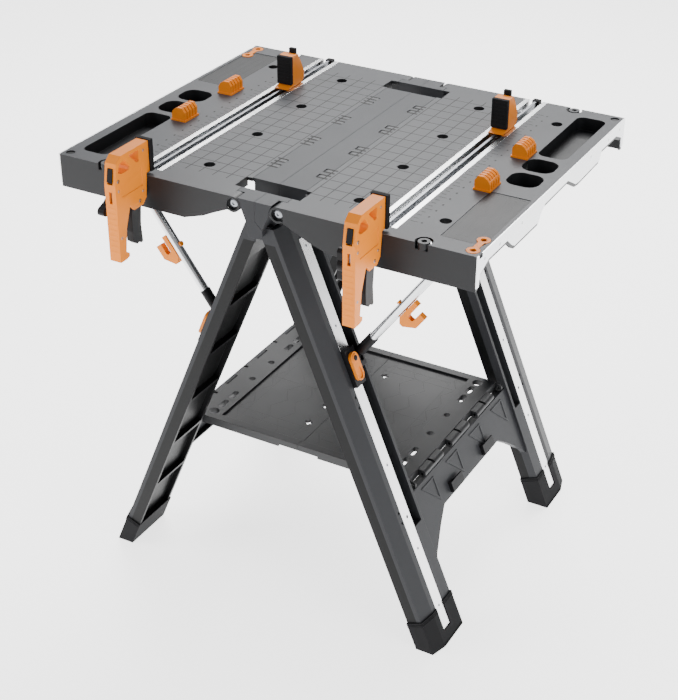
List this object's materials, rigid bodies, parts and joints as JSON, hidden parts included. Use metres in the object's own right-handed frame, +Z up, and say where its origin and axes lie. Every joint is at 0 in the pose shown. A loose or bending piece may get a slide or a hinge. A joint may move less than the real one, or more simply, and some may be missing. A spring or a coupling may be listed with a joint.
{
  "type": "sawhorse",
  "caption": "Folding work table and sawhorse with hinged half tops, lean-in leg frames, slotted aluminium clamp tracks, bar clamps, bench dogs and a folding shelf.",
  "frame": {"origin": "on the floor, midway between the four feet and under the seam of the top", "axes": "+X along the long side of the top, +Y towards the back, away from the clamp handles, +Z up"},
  "size_m": [0.787, 0.7291, 0.881],
  "materials": {
    "frame_plastic": "fine-textured moulded",
    "top_plastic": "fine-textured moulded",
    "shelf_plastic": "fine-textured moulded",
    "black_plastic": "satin",
    "orange_plastic": "satin",
    "rubber_black": "matt",
    "aluminium_strip": "brushed",
    "aluminium_plate": "satin",
    "steel_bar": "satin",
    "steel_tube": "polished"
  },
  "bodies": {
    "leg_left": {"leg_frame_left": "frame_plastic", "leg_strips_left": "aluminium_strip", "shoes_left": "rubber_black", "pins_left": "steel_bar", "clips_left": "black_plastic"},
    "leg_right": {"leg_frame_right": "frame_plastic", "leg_strips_right": "aluminium_strip", "shoes_right": "rubber_black", "pins_right": "steel_bar", "clips_right": "black_plastic"},
    "top_left": {"half_top_left": "top_plastic", "edge_plate_left": "aluminium_plate", "track_left": "aluminium_strip"},
    "clamp_left": {"clamp_head_left": "orange_plastic", "clamp_pad_left": "rubber_black"},
    "top_right": {"half_top_right": "top_plastic", "edge_plate_right": "aluminium_plate", "track_right": "aluminium_strip"},
    "clamp_right": {"clamp_head_right": "orange_plastic", "clamp_pad_right": "rubber_black"},
    "shelf_half_left": {"shelf_left": "shelf_plastic", "shelf_mid_pin": "steel_bar"},
    "shelf_half_right": {"shelf_right": "shelf_plastic"},
    "brace_front_left": {"strut_front_left": "steel_tube", "strut_ends_front_left": "black_plastic"},
    "slider_front_left": {"carriage_front_left": "black_plastic"},
    "lock_front_left": {"lever_front_left": "orange_plastic"},
    "brace_back_left": {"strut_back_left": "steel_tube", "strut_ends_back_left": "black_plastic"},
    "slider_back_left": {"carriage_back_left": "black_plastic"},
    "lock_back_left": {"lever_back_left": "orange_plastic"},
    "hook_body_left": {"hook_left": "orange_plastic"},
    "clamp_bar_left": {"bar_left": "steel_bar", "jaw_left": "orange_plastic", "jaw_rubber_left": "rubber_black"},
    "trigger_body_left": {"trigger_left": "black_plastic"},
    "release_body_left": {"release_left": "black_plastic"},
    "knob_body_left": {"knob_left": "black_plastic"},
    "link_body_left": {"link_left": "orange_plastic"},
    "dog_body_left_front": {"dog_left_front": "orange_plastic"},
    "dog_body_left_back": {"dog_left_back": "orange_plastic"},
    "brace_front_right": {"strut_front_right": "steel_tube", "strut_ends_front_right": "black_plastic"},
    "slider_front_right": {"carriage_front_right": "black_plastic"},
    "lock_front_right": {"lever_front_right": "orange_plastic"},
    "brace_back_right": {"strut_back_right": "steel_tube", "strut_ends_back_right": "black_plastic"},
    "slider_back_right": {"carriage_back_right": "black_plastic"},
    "lock_back_right": {"lever_back_right": "orange_plastic"},
    "hook_body_right": {"hook_right": "orange_plastic"},
    "clamp_bar_right": {"bar_right": "steel_bar", "jaw_right": "orange_plastic", "jaw_rubber_right": "rubber_black"},
    "trigger_body_right": {"trigger_right": "black_plastic"},
    "release_body_right": {"release_right": "black_plastic"},
    "knob_body_right": {"knob_right": "black_plastic"},
    "link_body_right": {"link_right": "orange_plastic"},
    "dog_body_right_front": {"dog_right_front": "orange_plastic"},
    "dog_body_right_back": {"dog_right_back": "orange_plastic"}
  },
  "joints": [
    {"name": "leg_fold", "type": "hinge", "parent": "leg_left", "child": "leg_right", "pos_m": [0, 0, 0.752], "axis": [0, 1, 0], "range_deg": [0, 45]},
    {"name": "top_fold_left", "type": "hinge", "parent": "leg_left", "child": "top_left", "pos_m": [-0.042, 0, 0.799], "axis": [0, -1, 0], "range_deg": [0, 67.5]},
    {"name": "top_fold_right", "type": "hinge", "parent": "leg_right", "child": "top_right", "pos_m": [0.042, 0, 0.799], "axis": [0, 1, 0], "range_deg": [0, 67.5]},
    {"name": "shelf_fold_left", "type": "hinge", "parent": "leg_left", "child": "shelf_half_left", "pos_m": [-0.236, 0, 0.26], "axis": [0, -1, 0], "range_deg": [0, 61.24]},
    {"name": "shelf_fold_right", "type": "hinge", "parent": "shelf_half_left", "child": "shelf_half_right", "pos_m": [0, 0, 0.256], "axis": [0, 1, 0], "range_deg": [0, 167.47]},
    {"name": "brace_turn_front_left", "type": "hinge", "parent": "top_left", "child": "brace_front_left", "pos_m": [-0.325, -0.222, 0.776], "axis": [0, 1, 0], "range_deg": [0, 126.24]},
    {"name": "slider_turn_front_left", "type": "hinge", "parent": "brace_front_left", "child": "slider_front_left", "pos_m": [-0.13464, -0.222, 0.5158], "axis": [0, -1, 0], "range_deg": [0, 58.74]},
    {"name": "lock_turn_front_left", "type": "hinge", "parent": "slider_front_left", "child": "lock_front_left", "pos_m": [-0.14368, -0.249, 0.5282], "axis": [-0.9239, 0, 0.3827], "range_deg": [0, 60]},
    {"name": "brace_turn_back_left", "type": "hinge", "parent": "top_left", "child": "brace_back_left", "pos_m": [-0.325, 0.222, 0.776], "axis": [0, 1, 0], "range_deg": [0, 126.24]},
    {"name": "slider_turn_back_left", "type": "hinge", "parent": "brace_back_left", "child": "slider_back_left", "pos_m": [-0.13464, 0.222, 0.5158], "axis": [0, -1, 0], "range_deg": [0, 58.74]},
    {"name": "lock_turn_back_left", "type": "hinge", "parent": "slider_back_left", "child": "lock_back_left", "pos_m": [-0.14368, 0.249, 0.5282], "axis": [0.9239, 0, -0.3827], "range_deg": [0, 60]},
    {"name": "hook_swivel_left", "type": "hinge", "parent": "brace_front_left", "child": "hook_body_left", "pos_m": [-0.22411, -0.222, 0.63809], "axis": [0.8071, 0, 0.5905], "range_deg": [-90, 90]},
    {"name": "clamp_lift_left", "type": "slide", "parent": "top_left", "child": "clamp_left", "axis": [0, 0, 1], "range_m": [0, 0.12]},
    {"name": "clamp_slide_left", "type": "slide", "parent": "clamp_left", "child": "clamp_bar_left", "axis": [0, -1, 0], "range_m": [0, 0.44]},
    {"name": "trigger_pull_left", "type": "hinge", "parent": "clamp_left", "child": "trigger_body_left", "pos_m": [-0.2206, -0.34, 0.776], "axis": [-1, 0, 0], "range_deg": [0, 7], "stiffness_Nm_per_rad": 0.6, "springref_deg": -20.05},
    {"name": "release_pull_left", "type": "hinge", "parent": "clamp_left", "child": "release_body_left", "pos_m": [-0.2206, -0.3945, 0.831], "axis": [1, 0, 0], "range_deg": [0, 12], "stiffness_Nm_per_rad": 0.05, "springref_deg": -20.05},
    {"name": "knob_turn_left", "type": "hinge", "parent": "clamp_left", "child": "knob_body_left", "pos_m": [-0.2506, -0.372, 0.775], "axis": [1, 0, 0], "continuous": true},
    {"name": "dog_lift_left_front", "type": "slide", "parent": "top_left", "child": "dog_body_left_front", "axis": [0, 0, 1], "range_m": [0, 0.03]},
    {"name": "dog_lift_left_back", "type": "slide", "parent": "top_left", "child": "dog_body_left_back", "axis": [0, 0, 1], "range_m": [0, 0.03]},
    {"name": "link_lift_left", "type": "slide", "parent": "top_left", "child": "link_body_left", "axis": [0, 0, 1], "range_m": [0, 0.02]},
    {"name": "brace_turn_front_right", "type": "hinge", "parent": "top_right", "child": "brace_front_right", "pos_m": [0.325, -0.222, 0.776], "axis": [0, -1, 0], "range_deg": [0, 126.24]},
    {"name": "slider_turn_front_right", "type": "hinge", "parent": "brace_front_right", "child": "slider_front_right", "pos_m": [0.13464, -0.222, 0.5158], "axis": [0, 1, 0], "range_deg": [0, 58.74]},
    {"name": "lock_turn_front_right", "type": "hinge", "parent": "slider_front_right", "child": "lock_front_right", "pos_m": [0.14368, -0.249, 0.5282], "axis": [-0.9239, 0, -0.3827], "range_deg": [0, 60]},
    {"name": "brace_turn_back_right", "type": "hinge", "parent": "top_right", "child": "brace_back_right", "pos_m": [0.325, 0.222, 0.776], "axis": [0, -1, 0], "range_deg": [0, 126.24]},
    {"name": "slider_turn_back_right", "type": "hinge", "parent": "brace_back_right", "child": "slider_back_right", "pos_m": [0.13464, 0.222, 0.5158], "axis": [0, 1, 0], "range_deg": [0, 58.74]},
    {"name": "lock_turn_back_right", "type": "hinge", "parent": "slider_back_right", "child": "lock_back_right", "pos_m": [0.14368, 0.249, 0.5282], "axis": [0.9239, 0, 0.3827], "range_deg": [0, 60]},
    {"name": "hook_swivel_right", "type": "hinge", "parent": "brace_front_right", "child": "hook_body_right", "pos_m": [0.22411, -0.222, 0.63809], "axis": [-0.8071, 0, 0.5905], "range_deg": [-90, 90]},
    {"name": "clamp_lift_right", "type": "slide", "parent": "top_right", "child": "clamp_right", "axis": [0, 0, 1], "range_m": [0, 0.12]},
    {"name": "clamp_slide_right", "type": "slide", "parent": "clamp_right", "child": "clamp_bar_right", "axis": [0, -1, 0], "range_m": [0, 0.44]},
    {"name": "trigger_pull_right", "type": "hinge", "parent": "clamp_right", "child": "trigger_body_right", "pos_m": [0.2206, -0.34, 0.776], "axis": [-1, 0, 0], "range_deg": [0, 7], "stiffness_Nm_per_rad": 0.6, "springref_deg": -20.05},
    {"name": "release_pull_right", "type": "hinge", "parent": "clamp_right", "child": "release_body_right", "pos_m": [0.2206, -0.3945, 0.831], "axis": [1, 0, 0], "range_deg": [0, 12], "stiffness_Nm_per_rad": 0.05, "springref_deg": -20.05},
    {"name": "knob_turn_right", "type": "hinge", "parent": "clamp_right", "child": "knob_body_right", "pos_m": [0.1906, -0.372, 0.775], "axis": [1, 0, 0], "continuous": true},
    {"name": "dog_lift_right_front", "type": "slide", "parent": "top_right", "child": "dog_body_right_front", "axis": [0, 0, 1], "range_m": [0, 0.03]},
    {"name": "dog_lift_right_back", "type": "slide", "parent": "top_right", "child": "dog_body_right_back", "axis": [0, 0, 1], "range_m": [0, 0.03]},
    {"name": "link_lift_right", "type": "slide", "parent": "top_right", "child": "link_body_right", "axis": [0, 0, 1], "range_m": [0, 0.02]}
  ],
  "couplings": [
    {"joint": "shelf_fold_left", "follows": "leg_fold", "ratio": 1.3606},
    {"joint": "shelf_fold_right", "follows": "leg_fold", "ratio": 3.7213},
    {"joint": "brace_turn_front_left", "follows": "top_fold_left", "ratio": 1.87},
    {"joint": "slider_turn_front_left", "follows": "top_fold_left", "ratio": 0.87002},
    {"joint": "brace_turn_back_left", "follows": "top_fold_left", "ratio": 1.87},
    {"joint": "slider_turn_back_left", "follows": "top_fold_left", "ratio": 0.87002},
    {"joint": "brace_turn_front_right", "follows": "top_fold_right", "ratio": 1.87},
    {"joint": "slider_turn_front_right", "follows": "top_fold_right", "ratio": 0.87002},
    {"joint": "brace_turn_back_right", "follows": "top_fold_right", "ratio": 1.87},
    {"joint": "slider_turn_back_right", "follows": "top_fold_right", "ratio": 0.87002}
  ]
}
